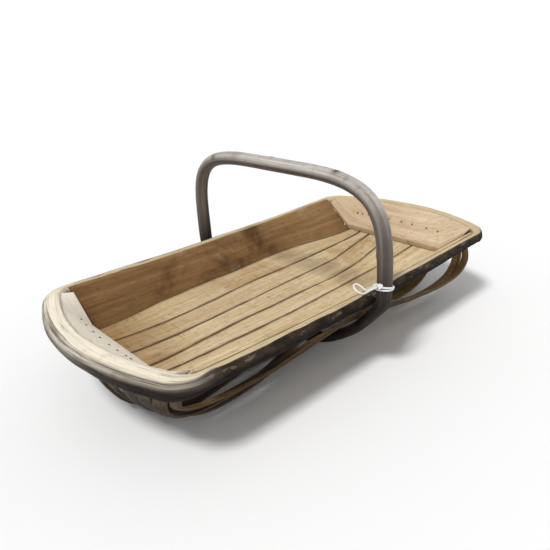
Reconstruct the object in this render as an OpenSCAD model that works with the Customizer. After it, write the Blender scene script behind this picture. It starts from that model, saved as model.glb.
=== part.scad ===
// Long bentwood garden trug: a shallow plank tray in a bark-on rim, slung in bent laths and one
// handle hoop. +X runs along the length, +Y across, +Z up, and the ground is at z = 0.

/* [Rim] */
// Half the width across the rim's top edge
rim_half_w = 150; // [146:1:154]
// Half the length, measured to the rounded corners
rim_half_l = 257; // [252:1:262]
// How far the middle of each end bows out past its corners
end_bow = 37; // [32:1:42]
// Corner radius of the rim's top edge in plan
corner_r = 18; // [17:1:20]
// Height of the rim's top at mid-length
rim_z = 105; // [103:1:107]
// How far the rim's top has risen at the corners
sheer = 5; // [3:1:7]
// Height of the rim section along the sides
rim_side_h = 18; // [17:1:19]
// Height of the rim section across the ends
rim_end_h = 26; // [24:1:27]
// How far the rounded bark side stands out at mid-length
bark = 7; // [6:0.5:8]
// How much more it stands out at the thick left end, and less at the right
bark_taper = 3.6; // [0:0.2:3.6]
// How much thinner the rim section is at the right end, as a share of its height
rim_thinning = 0.2; // [0:0.02:0.2]

/* [Tray] */
// Thickness of the tray boards
board_t = 4.5; // [4:0.5:4.5]
// Depth of the floor below the rim at mid-length
tray_depth = 47; // [44:1:48]
// Gap between neighbouring boards
board_gap = 1.4; // [1:0.1:2]
// Thickness of the crescent boards over the ends, measured upright
end_board_t = 6.3; // [5:0.1:6.3]

/* [Laths] */
// Thickness of the bent laths
lath_t = 4; // [3.4:0.2:4]
// Width of the laths under the floor
lath_w = 17.6; // [15:0.2:17.6]
// Width of the lower lath up each side
low_lath_w = 17; // [15:0.5:17]
// Width of the upper lath up each side
high_lath_w = 13.5; // [12:0.5:13.5]

/* [Handle] */
// Half the width of the hoop, to the middle of the pole
hoop_half_w = 171; // [170:1:173]
// Height of the hoop's top above the rim, to the middle of the pole
hoop_h = 132; // [120:1:145]
// How far the top of the hoop leans towards the near side
hoop_lean = 5; // [0:1:8]
// Half the pole's thickness along the trug
pole_rx = 9.6; // [9:0.1:10]
// Half the pole's thickness above the rim
pole_r = 8.8; // [8:0.1:9.2]
// Half the thickness of the shaved pole below the rim
shaved_r = 7.2; // [6.6:0.1:7.2]

/* [Fasteners and string] */
// Shank radius of the nails
nail_r = 0.8; // [0.6:0.1:1]
// Head radius of the nails
nail_head_r = 1.6; // [1.4:0.1:2]
// Diameter of the string
string_d = 2.2; // [2:0.1:2.4]

/* [Hidden] */
clear = 0.3; // gap between pieces that lie against each other

// Rim, as a closed path in plan with a D-shaped section that changes from side to end
side_steps = 26;
corner_steps = 6;
end_steps = 16;
corner_x = rim_half_l - corner_r;
corner_y = rim_half_w - corner_r;
side_inner_top = 6.4;
side_inner_slope = 0.41;
end_inner = 14;

// Tray. Each seam between boards is given by where it lies at five stations along the trug.
edge_x = 236; // where the end boards' inner edges lie
seam_x = [-edge_x, -118, 0, 118, edge_x];
seams = [
    [-92, -98, -103, -98, -90],
    [-54, -51, -49, -43, -40],
    [-33, -20, -17, -14, 9],
    [8, 14, 21, 26, 46],
    [49, 53, 63, 65, 66],
    [90, 109, 114, 116, 88]
];
floor_mid_z = rim_z - tray_depth;
end_lift = 6; // how far the floor has risen where the end boards start
bend_x = edge_x + 3; // where the floor boards turn up under the end boards
bend_soft = 4;
wall_top_y = 138;
wall_t = 5.1; // side board thickness, measured level
board_top_gap = 0.6;
floor_steps = 12;
tip_steps = 5;
end_board_half_w = 130;
end_board_lift = 7.6; // the end boards' top face above the floor boards, at the inner edge
climb_y = 90; // where the end boards' edges leave the floor and climb the walls
tip_thinning = 3.8; // how much thinner the end boards are at their tips
end_board_steps = 26;

// Laths: control points of each bent strip, and its tilt at the ends and in the middle
lath_steps = 3;
belly_z = lath_t / 2;
mid_lath = 6;

// Hoop below the rim: the far half of its control points, from the rim to the ground
hoop_low = [
    [171, 105], [171, 98], [167, 91], [160, 83], [150, 72], [139, 59],
    [124, 46], [100, 29], [74, 14.5], [45, shaved_r], [15, shaved_r]
];
hoop_power = 4.4;
hoop_sides = 12;
hoop_skew = 0.013;

// Nails
nail_head_h = 0.7;
end_nail_at = 0.5; // across the end board, from its inner edge
end_nail_l = 11;
lath_nail_drop = 16;
lath_nail_l = 13;
side_nail_x = [-205, -125, -45, 45, 125, 205];
side_nail_l = 17;
hoop_nail_l = 10;
handle_nail_l = 30;

// String round the near leg of the handle, and the route of its loose loop on the rim
string_r = string_d / 2;
tie_at = [3.2, -171.4, 117.5];
tie_r = 11.8;
tie_tilt = 12;
knot_at = [-9.4, -174.5, 123.5];
knot_r = 3;
loop_route = [
    [-11.2, -171.8, 122.8], [-12.2, -167, 119.5], [-12.4, -161.5, 115], [-12, -156, 110.6],
    [-11.2, -150.5, 107.4], [-10.4, -145.5, 106.3], [-9.2, -140.8, 106.6], [-7.4, -135.6, 108],
    [-4.6, -131, 109.4], [-0.8, -129.2, 109.9], [2.4, -131.6, 109.4], [2.8, -137, 107.8],
    [0.8, -143, 106.4], [-2, -148.5, 107.2], [-4.8, -153.5, 110.6], [-7.2, -159, 115.2],
    [-8.8, -164.5, 119.8], [-9.6, -168.4, 122.8], [-9.3, -171, 125.2]
];

bark_colour = [0.45, 0.40, 0.34];
pole_colour = [0.55, 0.49, 0.42];
board_colour = [0.80, 0.70, 0.54];
end_colour = [0.83, 0.77, 0.65];
lath_colour = [0.55, 0.42, 0.27];
nail_colour = [0.25, 0.24, 0.23];
string_colour = [0.93, 0.92, 0.89];

// Small helpers
function mix(a, b, t) = a + (b - a) * t;
function unit(v) = v / norm(v);
function flip(v) = [for (i = [len(v) - 1:-1:0]) v[i]];
function mirrored_x(v) = [for (p = v) [-p[0], p[1], p[2]]];
function mirrored_y(v) = [for (p = v) [p[0], -p[1], p[2]]];

// A uniform cubic B-spline through a list of control points, starting and ending on the outer two
function spline_at(a, b, c, d, t) =
    (pow(1 - t, 3) * a + (3 * pow(t, 3) - 6 * t * t + 4) * b
        + (-3 * pow(t, 3) + 3 * t * t + 3 * t + 1) * c + pow(t, 3) * d) / 6;
function clamped(p) = let (n = len(p) - 1) concat([2 * p[0] - p[1]], p, [2 * p[n] - p[n - 1]]);
function spline(points, steps) =
    let (p = clamped(points), n = len(p) - 3)
    concat(
        [for (i = [0:n - 1], s = [0:steps - 1]) spline_at(p[i], p[i + 1], p[i + 2], p[i + 3], s / steps)],
        [points[len(points) - 1]]);

// A solid through a list of equal rings, each running anticlockwise seen from the last one
module loft(rings, closed = false) {
    n = len(rings[0]);
    m = len(rings);
    walls = [
        for (i = [0:m - (closed ? 1 : 2)], j = [0:n - 1])
            let (a = i * n + j, b = i * n + (j + 1) % n,
                 c = ((i + 1) % m) * n + (j + 1) % n, d = ((i + 1) % m) * n + j)
            each [[a, b, c], [a, c, d]]
    ];
    caps = closed ? [] : [
        for (j = [1:n - 2]) each [[0, j + 1, j], [(m - 1) * n, (m - 1) * n + j, (m - 1) * n + j + 1]]
    ];
    polyhedron(points = [for (r = rings) each r], faces = concat(walls, caps), convexity = 10);
}

// Rim
function arris_x(y) = rim_half_l + end_bow * (1 - pow(y / rim_half_w, 2));
function end_stretch(y) = norm([1, 2 * end_bow * y / pow(rim_half_w, 2)]);
function end_inner_x(y, depth) = arris_x(y) - depth * end_stretch(y);
function rim_top(x) = rim_z + sheer * pow(x / rim_half_l, 2);
function straight(p, q, steps) = [for (i = [0:steps - 1]) mix(p, q, i / steps)];
function corner(x, y, from) = [
    for (i = [0:corner_steps - 1])
        let (a = from + 90 * i / corner_steps) [x + corner_r * cos(a), y + corner_r * sin(a)]
];
function bowed(p) =
    [p[0] + sign(p[0]) * end_bow * (1 - pow(p[1] / rim_half_w, 2)) * pow(abs(p[0]) / rim_half_l, 4), p[1]];
rim_plan = [
    for (p = concat(
        straight([corner_x, rim_half_w], [-corner_x, rim_half_w], side_steps),
        corner(-corner_x, corner_y, 90),
        straight([-rim_half_l, corner_y], [-rim_half_l, -corner_y], end_steps),
        corner(-corner_x, -corner_y, 180),
        straight([-corner_x, -rim_half_w], [corner_x, -rim_half_w], side_steps),
        corner(corner_x, -corner_y, 270),
        straight([rim_half_l, -corner_y], [rim_half_l, corner_y], end_steps),
        corner(corner_x, corner_y, 0)
    )) bowed(p)
];
function rim_out(i) =
    let (n = len(rim_plan), d = unit(rim_plan[(i + 1) % n] - rim_plan[(i + n - 1) % n])) [d[1], -d[0]];
function bark_at(x) = bark - bark_taper * x / rim_half_l;
function rim_height(x, end) =
    mix(rim_side_h, rim_end_h, end) * (1 - rim_thinning * min(1, max(0, (x + 60) / 300)));
function rim_section(end, b, h) = [
    [-mix(side_inner_top, end_inner, end), 0], [-0.5, 0], [0.35 * b, -0.05 * h], [0.77 * b, -0.18 * h],
    [b, -0.38 * h], [0.97 * b, -0.58 * h], [0.68 * b, -0.8 * h], [0, -0.97 * h], [-5, -h],
    [-mix(side_inner_top + side_inner_slope * h, end_inner, end), -h]
];
module rim_hoop() {
    color(bark_colour)
        difference() {
            loft([
                for (i = [0:len(rim_plan) - 1])
                    let (p = rim_plan[i], out = rim_out(i), z = rim_top(p[0]), end = abs(out[0]))
                    [
                        for (s = rim_section(end, bark_at(p[0]), rim_height(p[0], end)))
                            [p[0] + s[0] * out[0], p[1] + s[0] * out[1], z + s[1]]
                    ]
            ], closed = true);
            lath_nail_holes(1);
            lath_nail_holes(-1);
            side_nail_shanks();
            handle_nail_shanks();
        }
}

// Tray boards
function seam_y(seam, x) =
    let (t = min(3.999, max(0, (x + edge_x) / (edge_x / 2))), i = floor(t), f = t - i,
         a = seam[max(0, i - 1)], b = seam[i], c = seam[i + 1], d = seam[min(4, i + 2)])
    b + f * (c - a) / 2 + f * f * (a - 2.5 * b + 2 * c - d / 2) + f * f * f * (1.5 * (b - c) + (d - a) / 2);
function turn_up(y) =
    (tray_depth - end_lift - end_board_lift + 2.5) / (end_inner_x(y, end_inner) - edge_x) - 0.12;
function floor_z(x, y) =
    let (v = abs(x) - bend_x)
    floor_mid_z + end_lift * pow(x / edge_x, 4)
        + turn_up(y) * (v + sqrt(v * v + bend_soft * bend_soft)) / 2;
function floor_end_x(y) = end_inner_x(y, end_inner + lath_t + 3 * clear) - board_t * 0.8;
// A station along a floor board: -2 to 2 from tip to tip, with 1 at the end boards' inner edges
function floor_x(w, y) =
    sign(w) * (abs(w) < 1 ? edge_x * abs(w) : mix(edge_x, floor_end_x(y), abs(w) - 1));
stations = concat(
    [for (i = [-tip_steps:-1]) -1 + (i / tip_steps)],
    [for (i = [-floor_steps:floor_steps]) i / floor_steps],
    [for (i = [1:tip_steps]) 1 + i / tip_steps]
);
function floor_point(w, y, under) =
    let (x = floor_x(w, y), slope = (floor_z(x + 0.5, y) - floor_z(x - 0.5, y)), n = unit([-slope, 1]),
         t = under ? board_t : 0)
    [x - t * n[0], y, floor_z(x, y) - t * n[1]];
module floor_board(i) {
    color(board_colour)
        difference() {
            loft([
                for (w = stations)
                    let (x = floor_x(w, 60), a = seam_y(seams[i - 1], x) + board_gap / 2,
                         b = seam_y(seams[i], x) - board_gap / 2, m = (a + b) / 2)
                    [
                        floor_point(w, a, true), floor_point(w, m, true), floor_point(w, b, true),
                        floor_point(w, b, false), floor_point(w, m, false), floor_point(w, a, false)
                    ]
            ]);
            end_nail_shanks(1, i);
            end_nail_shanks(-1, i);
        }
}

function wall_foot(x, y) = floor_z(x, y) - board_t + 0.5;
module side_board(side) {
    seam = side > 0 ? seams[5] : seams[0];
    color(board_colour)
        difference() {
            loft([
                for (i = [-floor_steps:floor_steps])
                    let (x = (edge_x + 1) * i / floor_steps, y = abs(seam_y(seam, x)) + board_gap / 2,
                         foot = wall_foot(x, y), top = rim_top(x) - board_top_gap,
                         ring = [
                             [x, y, foot], [x, y + wall_t, foot],
                             [x, wall_top_y + wall_t, top], [x, wall_top_y, top]
                         ])
                    side > 0 ? ring : flip(mirrored_y(ring))
            ]);
            side_nail_shanks();
        }
}

// The crescent boards that close the ends: from the inner edge on the floor up to the rim
function wall_z(y) =
    let (foot = floor_z(edge_x, climb_y), top = rim_top(edge_x) - board_top_gap)
    mix(foot, top, max(0, (abs(y) - climb_y) / (wall_top_y - climb_y)));
function tip_loss(y) = tip_thinning * max(0, (abs(y) - climb_y) / (end_board_half_w - climb_y));
function end_board_x(y, t) = mix(edge_x, end_inner_x(y, end_inner + clear), t);
function end_board_z(y, t) =
    let (outer = rim_top(end_board_x(y, 1)) - 0.5,
         inner = min(wall_z(y) + end_board_lift - tip_loss(y), outer - 1))
    mix(inner, outer, t);
function end_board_slope(y) =
    atan2(end_board_z(y, 1) - end_board_z(y, 0), end_board_x(y, 1) - end_board_x(y, 0));
module end_board(end) {
    color(end_colour)
        difference() {
            loft([
                for (i = [0:end_board_steps])
                    let (y = mix(-end_board_half_w, end_board_half_w, i / end_board_steps),
                         top = [for (t = [0, 0.5, 1]) [end_board_x(y, t), y, end_board_z(y, t)]],
                         ring = concat(top, [for (p = flip(top)) p - [0, 0, end_board_t - tip_loss(y)]]))
                    end > 0 ? ring : flip(mirrored_x(ring))
            ]);
            for (i = [1:5]) end_nail_shanks(end, i);
        }
}

// Laths, numbered from the near side to the far side. Each route runs from the left end to the
// right. The belly laths fan out to the left and lie side by side at the right.
function lath_foot_x(y) = end_inner_x(y, end_inner + 2 * clear + lath_t / 2);
function lath_top(y) = let (x = lath_foot_x(y)) [[x, y, rim_z - 7.5], [x, y, rim_z - 17], [x, y, rim_z - 28]];
function route(left_y, left, right, right_y) =
    concat(mirrored_x(concat(lath_top(left_y), left)), right, flip(lath_top(right_y)));
// Each lath on the far side, from the middle out: route, width, tilt in the middle
far_laths = [
    [route(0,
        [[277, 0, 64], [270, 0, 44], [257, 0, 20], [236, 0, belly_z],
         [210, 0, belly_z], [180, 0, belly_z], [150, 0, belly_z], [105, 0, 6], [55, 0, 15.4]],
        [[0, 0, 17.4], [55, 0, 15.4], [105, 0, 6], [150, 0, belly_z], [180, 0, belly_z], [210, 0, belly_z],
         [236, 0, belly_z], [257, 0, 20], [270, 0, 44], [277, 0, 64]],
        0), lath_w, 0],
    [route(28,
        [[276, 28, 65], [268, 28, 46], [252, 28, 26], [232, 26.5, 4],
         [205, 24, belly_z], [180, 21.5, belly_z], [150, 19.5, belly_z], [105, 18.5, 6], [55, 18.4, 15.4]],
        [[0, 18.4, 17.4], [55, 18.4, 15.4], [105, 18.4, 6], [150, 18.4, belly_z], [180, 18.5, belly_z],
         [210, 18.8, belly_z], [235, 19.4, 3], [255, 20, 23], [269, 20.3, 45], [276.5, 20.3, 64]],
        20.3), lath_w, 0],
    [route(59,
        [[271.5, 59, 65], [264, 59, 46], [248, 58, 28], [226, 54.5, 12],
         [200, 48.5, 3.6], [170, 42.5, 2.4], [140, 38.5, 3], [100, 37, 7], [55, 36.8, 15.6]],
        [[0, 36.8, 18.6], [55, 36.8, 15.6], [100, 36.8, 7], [140, 36.9, 3], [172, 37.3, 2.4],
         [203, 38, 2.8], [231, 39.2, 6], [252, 40.2, 25], [267, 40.6, 45], [274.5, 40.6, 64]],
        40.6), lath_w, 5],
    [route(84,
        [[267, 84, 65], [260, 84, 50], [245, 83, 35], [222, 81, 21],
         [196, 78, 9.6], [165, 75, 5.4], [130, 73, 5.2], [90, 71, 9.4], [50, 63.5, 18.4]],
        [[0, 54.4, 22.8], [50, 55.2, 17], [90, 55.2, 8.4], [130, 55.4, 4.4], [165, 55.8, 3.6],
         [200, 56.8, 4.8], [228, 58.5, 12], [249, 60.4, 29], [264, 61, 47], [271, 61, 65]],
        61), lath_w, 16],
    [route(107,
        [[265, 107, 62], [252, 108, 46], [215, 107, 36], [140, 102.5, 33.5], [60, 96, 36.4]],
        [[0, 93.6, 38.8], [60, 95.2, 35.4], [125, 99.6, 25.4], [195, 104, 21], [242, 106.5, 28], [262, 107, 50]],
        107), low_lath_w, 31],
    [route(122.8,
        [[256, 124.5, 68], [242, 126, 60], [190, 127, 52], [140, 127, 51.4], [75, 130, 59.6]],
        [[0, 131.4, 71], [75, 130.4, 56.8], [140, 127, 42], [200, 123.4, 35], [243, 123.2, 42], [257, 124, 60]],
        122.8), high_lath_w, 52]
];
function lath_spec(i) = far_laths[abs(i - mid_lath)];
function near_side(i) = i < mid_lath;
function middle_part(x) = pow(cos(min(90, 90 * abs(x) / 270)), 0.8);
function lath_frame(spec, at, along) =
    let (tilt = spec[2] * middle_part(at[0]), end = pow(min(1, max(0, (abs(at[0]) - 170) / 70)), 2),
         turn = sign(-at[0]) * end * atan(2 * end_bow * at[1] / pow(rim_half_w, 2)), t = unit(along),
         w0 = [cos(tilt) * sin(turn), cos(tilt) * cos(turn), sin(tilt)], w = unit(w0 - (w0 * t) * t))
    [w, cross(t, w)];
module lath(i) {
    spec = lath_spec(i);
    path = spline(spec[0], lath_steps);
    n = len(path) - 1;
    color(lath_colour)
        difference() {
            loft([
                for (k = [0:n])
                    let (f = lath_frame(spec, path[k], path[min(n, k + 1)] - path[max(0, k - 1)]),
                         w = f[0] * spec[1] / 2, t = f[1] * lath_t / 2, p = path[k],
                         ring = [p - w - t, p + w - t, p + w + t, p - w + t])
                    near_side(i) ? flip(mirrored_y(ring)) : ring
            ]);
            lath_nail_holes(1);
            lath_nail_holes(-1);
            hoop_nail_shanks();
        }
}

// Handle hoop: the bent pole over the trug, and its shaved lower part round the laths
function hoop_high(a) =
    let (r = 1 / pow(pow(abs(cos(a)) / hoop_half_w, hoop_power) + pow(sin(a) / hoop_h, hoop_power),
                     1 / hoop_power))
    [r * cos(a) - hoop_lean * r * sin(a) / hoop_h, rim_z + r * sin(a)];
hoop_path = concat(
    [for (a = [5:5:175]) hoop_high(a)],
    spline(concat([for (q = hoop_low) [-q[0], q[1]]], flip(hoop_low)), 2)
);
function pole_half(z) = mix(shaved_r, pole_r, min(1, max(0, (z - 80) / 30)));
function hoop_x(y, z) = -hoop_skew * y - 0.02 * max(0, z - rim_z);
module handle_hoop() {
    n = len(hoop_path);
    color(pole_colour)
        difference() {
            loft([
                for (i = [0:n - 1])
                    let (p = hoop_path[i], d = unit(hoop_path[(i + 1) % n] - hoop_path[(i + n - 1) % n]),
                         out = [d[1], -d[0]], r = pole_half(p[1]), x = hoop_x(p[0], p[1]))
                    [
                        for (k = [0:hoop_sides - 1])
                            let (a = 360 * (k + 0.5) / hoop_sides, s = r / cos(180 / hoop_sides) * sin(a))
                            [x + pole_rx * cos(a), p[0] + out[0] * s, p[1] + out[1] * s]
                    ]
            ], closed = true);
            hoop_nail_shanks();
            handle_nail_shanks();
        }
}

// Nails: each stands at the origin with its head's underside at z = 0 and its shank below
module shank(length) translate([0, 0, -length]) cylinder(h = length, r = nail_r, $fn = 24);
module nail(length) {
    shank(length);
    cylinder(h = nail_head_h, r1 = nail_head_r, r2 = nail_head_r * 0.6, $fn = 24);
}
module at_end_nails(end, board) {
    for (t = [0.28, 0.72])
        let (y = mix(seam_y(seams[board - 1], end * edge_x), seam_y(seams[board], end * edge_x), t))
        translate([end * end_board_x(y, end_nail_at), y, end_board_z(y, end_nail_at)])
            rotate([0, -end * end_board_slope(y), 0]) children();
}
module end_nail_shanks(end, board) at_end_nails(end, board) shank(end_nail_l);
module end_board_nails(end) {
    color(nail_colour) for (i = [1:5]) at_end_nails(end, i) nail(end_nail_l);
}
module at_lath_nails(end) {
    for (i = [1:len(far_laths) * 2 - 1])
        let (path = lath_spec(i)[0], p = path[end > 0 ? len(path) - 1 : 0],
             y = (near_side(i) ? -1 : 1) * p[1], turn = atan(2 * end_bow * y / pow(rim_half_w, 2)),
             in = lath_t / 2 - nail_head_h)
        translate([p[0] - end * in * cos(turn), y - in * sin(turn), rim_top(p[0]) - lath_nail_drop])
            rotate([0, 0, end * turn]) rotate([0, -end * 90, 0]) children();
}
module lath_nail_holes(end) at_lath_nails(end) nail(lath_nail_l);
module lath_nails(end) {
    color(nail_colour) at_lath_nails(end) nail(lath_nail_l);
}
module at_side_nails() {
    for (x = side_nail_x, side = [-1, 1])
        let (seam = side > 0 ? seams[5] : seams[0], y = abs(seam_y(seam, x)) + board_gap / 2,
             foot = wall_foot(x, y), top = rim_top(x) - board_top_gap, t = 0.82,
             lean = atan((top - foot) / (wall_top_y - y)))
        translate([x, side * mix(y, wall_top_y, t), mix(foot, top, t)])
            rotate([side * lean, 0, 0]) children();
}
module side_nail_shanks() at_side_nails() shank(side_nail_l);
module side_board_nails() {
    color(nail_colour) at_side_nails() nail(side_nail_l);
}
module at_hoop_nails() {
    for (i = [1:len(far_laths) * 2 - 1])
        let (spec = lath_spec(i), side = near_side(i) ? -1 : 1, path = spline(spec[0], lath_steps),
             p = path[floor(len(path) / 2)])
        translate([p[0], side * p[1], p[2]]) rotate([side * spec[2], 0, 0])
            translate([0, 0, lath_t / 2]) children();
}
module hoop_nail_shanks() at_hoop_nails() shank(hoop_nail_l);
module hoop_nails() {
    color(nail_colour) at_hoop_nails() nail(hoop_nail_l);
}
module at_handle_nails() {
    for (side = [-1, 1])
        translate([hoop_x(side * hoop_half_w, rim_z), side * (hoop_half_w + pole_r + 0.1), rim_z - 4])
            rotate([-side * 90, 0, 0]) children();
}
module handle_nail_shanks() at_handle_nails() shank(handle_nail_l);
module handle_nails() {
    color(nail_colour) at_handle_nails() nail(handle_nail_l);
}

// String: a ring with its knot round the near leg, and the loose loop
module string_tie() {
    color(string_colour) {
        translate(tie_at) rotate([0, tie_tilt, 0])
            rotate_extrude($fn = 48) translate([tie_r, 0]) circle(r = string_r, $fn = 16);
        translate(knot_at) sphere(r = knot_r, $fn = 24);
    }
}
module string_loop() {
    path = spline(loop_route, 1);
    n = len(path) - 1;
    color(string_colour)
        loft([
            for (k = [0:n])
                let (t = unit(path[min(n, k + 1)] - path[max(0, k - 1)]), u = unit(cross([0, 0, 1], t)),
                     v = cross(t, u))
                [for (a = [0:45:315]) path[k] + string_r * (cos(a) * u + sin(a) * v)]
        ]);
}

rim_hoop();
handle_hoop();
floor_board(1);  // floor_board_1
floor_board(2);  // floor_board_2
floor_board(3);  // floor_board_3
floor_board(4);  // floor_board_4
floor_board(5);  // floor_board_5
side_board(-1);  // side_board_near
side_board(1);  // side_board_far
end_board(-1);  // end_board_left
end_board(1);  // end_board_right
lath(1);  // lath_1
lath(2);  // lath_2
lath(3);  // lath_3
lath(4);  // lath_4
lath(5);  // lath_5
lath(6);  // lath_6
lath(7);  // lath_7
lath(8);  // lath_8
lath(9);  // lath_9
lath(10);  // lath_10
lath(11);  // lath_11
end_board_nails(-1);  // end_board_nails_left
end_board_nails(1);  // end_board_nails_right
side_board_nails();
lath_nails(-1);  // lath_nails_left
lath_nails(1);  // lath_nails_right
hoop_nails();
handle_nails();
string_tie();
string_loop();
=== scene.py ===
import math

import bpy
import numpy as np
from mathutils import Matrix


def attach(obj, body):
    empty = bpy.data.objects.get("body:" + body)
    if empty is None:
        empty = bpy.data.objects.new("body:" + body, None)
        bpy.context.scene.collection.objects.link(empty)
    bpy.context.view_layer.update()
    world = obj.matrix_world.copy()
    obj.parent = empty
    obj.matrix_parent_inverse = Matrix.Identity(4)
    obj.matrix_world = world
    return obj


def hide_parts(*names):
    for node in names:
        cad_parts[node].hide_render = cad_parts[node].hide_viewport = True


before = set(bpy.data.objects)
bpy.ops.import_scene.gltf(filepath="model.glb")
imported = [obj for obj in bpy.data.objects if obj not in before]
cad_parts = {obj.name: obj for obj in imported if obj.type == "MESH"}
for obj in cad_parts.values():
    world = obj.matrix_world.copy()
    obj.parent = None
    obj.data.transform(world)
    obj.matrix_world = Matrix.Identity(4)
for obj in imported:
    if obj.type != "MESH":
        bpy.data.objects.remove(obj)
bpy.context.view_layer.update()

# Shapes are worked out in millimetres and turned into metres as each mesh is made
MM = 0.001


# Camera
def aim_camera(place, yaw, pitch, roll, lens):
    """Yaw is from +X, pitch is below the horizon, in radians; the lens is in millimetres."""
    level = math.cos(pitch)
    forward = np.array([math.cos(yaw) * level, math.sin(yaw) * level, -math.sin(pitch)])
    right = np.array([math.sin(yaw), -math.cos(yaw), 0])
    down = np.cross(forward, right)
    x = math.cos(roll) * right + math.sin(roll) * down
    y = math.sin(roll) * right - math.cos(roll) * down
    data = bpy.data.cameras.new("camera")
    data.lens = lens
    data.sensor_width = 36
    camera = bpy.data.objects.new("camera", data)
    bpy.context.collection.objects.link(camera)
    rows = [[*axis] for axis in zip(x, y, -forward)]
    camera.matrix_world = Matrix.Translation(place) @ Matrix(rows).to_4x4()
    bpy.context.scene.camera = camera


aim_camera((-0.4673, -0.5370, 0.3982), yaw=0.8684, pitch=0.4142, roll=0.0723, lens=37.46)


# Numbers and noise
LATTICE_SIZE = 4096
LATTICE = np.random.default_rng(7).uniform(-1, 1, LATTICE_SIZE)
PLACE_HASH = np.array([73856093, 19349663, 83492791])
SEED_HASH = 2654435


def value_noise(p, seed):
    """Smooth noise between -1 and 1 at the points p."""
    cell = np.floor(p).astype(np.int64)
    t = p - cell
    t = t * t * (3 - 2 * t)
    total = 0
    for corner in range(8):
        step = np.array([corner & 1, corner >> 1 & 1, corner >> 2 & 1])
        hashed = (cell + step) * PLACE_HASH
        key = hashed[..., 0] ^ hashed[..., 1] ^ hashed[..., 2] ^ seed * SEED_HASH
        weight = np.prod(np.where(step, t, 1 - t), axis=-1)
        total = total + LATTICE[key & (LATTICE_SIZE - 1)] * weight
    return total


def fractal(u, v, w=0.0, seed=0, octaves=3):
    """Layers of noise, each half as large and half as strong as the one before."""
    p = np.stack(np.broadcast_arrays(u, v, w), axis=-1).astype(float)
    return sum(value_noise(p * 2**k, seed + 31 * k) / 2**k for k in range(octaves))


def clamp(x):
    return min(1, max(0, x))


def smooth_step(x, low, high):
    t = np.clip((x - low) / (high - low), 0, 1)
    return t * t * (3 - 2 * t)


def mix(a, b, t):
    return a + (b - a) * t


def unit(v):
    return v / np.linalg.norm(v, axis=-1, keepdims=True)


def spline(points, steps):
    """A uniform cubic B-spline that starts and ends on its outer control points."""
    p = np.array(points, float)
    p = np.vstack([2 * p[0] - p[1], p, 2 * p[-1] - p[-2]])
    t = (np.arange(steps) / steps)[:, None]
    curve = [
        ((1 - t) ** 3 * p[i] + (3 * t**3 - 6 * t**2 + 4) * p[i + 1]
         + (-3 * t**3 + 3 * t**2 + 3 * t + 1) * p[i + 2] + t**3 * p[i + 3]) / 6
        for i in range(len(p) - 3)
    ]
    return np.vstack([*curve, [points[-1]]])


CORNER_CUT = 0.22


def rounded(section):
    """A closed section of 2-D points with each of its corners cut once."""
    p = np.array(section, float)
    after = np.roll(p, -1, axis=0)
    cut = [(1 - CORNER_CUT) * p + CORNER_CUT * after, CORNER_CUT * p + (1 - CORNER_CUT) * after]
    return np.stack(cut, axis=1).reshape(-1, 2)


def refined(section, longest):
    """The same closed section with extra points along its long edges."""
    out = []
    for a, b in zip(section, np.roll(section, -1, axis=0)):
        parts = max(1, math.ceil(np.linalg.norm(b - a) / longest))
        out += [mix(a, b, k / parts) for k in range(parts)]
    return np.array(out)


def lengths(points, closed):
    """How far each point lies along the line, with the way back to the start if it is closed."""
    p = np.vstack([points, points[:1]]) if closed else points
    return np.concatenate([[0], np.cumsum(np.linalg.norm(np.diff(p, axis=0), axis=1))])


def ring_normals(rings, closed):
    around = np.roll(rings, -1, axis=1) - np.roll(rings, 1, axis=1)
    if closed:
        along = np.roll(rings, -1, axis=0) - np.roll(rings, 1, axis=0)
    else:
        along = np.gradient(rings, axis=0)
    normal = np.cross(around, along)
    normal /= np.maximum(np.linalg.norm(normal, axis=-1, keepdims=True), 1e-9)
    centre = rings.mean(axis=1, keepdims=True)
    return normal * np.sign(np.sum(normal * (rings - centre)))


def tube_faces(count, size, closed):
    """Quads between neighbouring rings of points, and a cap on each open end."""
    index = np.arange(count * size).reshape(count, size)
    a = index if closed else index[:-1]
    b = np.roll(index, -1, axis=0) if closed else index[1:]
    quads = np.stack([a, np.roll(a, -1, axis=1), np.roll(b, -1, axis=1), b], axis=-1)
    caps = [] if closed else [index[0][::-1].tolist(), index[-1].tolist()]
    return quads.reshape(-1, 4), caps


def signed_volume(points, quads):
    p = points[quads]
    areas = np.cross(p[:, 1], p[:, 2]) + np.cross(p[:, 2], p[:, 3])
    return np.einsum("ij,ij->i", p[:, 0], areas).sum()


def grain_corners(quads, size, along, around):
    """Where each quad's corners lie along and round a tube, running on over its seams."""
    rows, columns = quads // size, quads % size
    over_end = (np.ptp(rows, axis=1, keepdims=True) > 1) & (rows == 0)
    over_side = (np.ptp(columns, axis=1, keepdims=True) > 1) & (columns == 0)
    rows = np.where(over_end, len(along) - 1, rows)
    columns = np.where(over_side, size, columns)
    return np.stack([along[rows], around[columns]], -1)


CAP_GRAIN = 0.2
PLAN_GRAIN = [1, 1.3]
SIDEWAYS_SHIFT = 0.37


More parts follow.
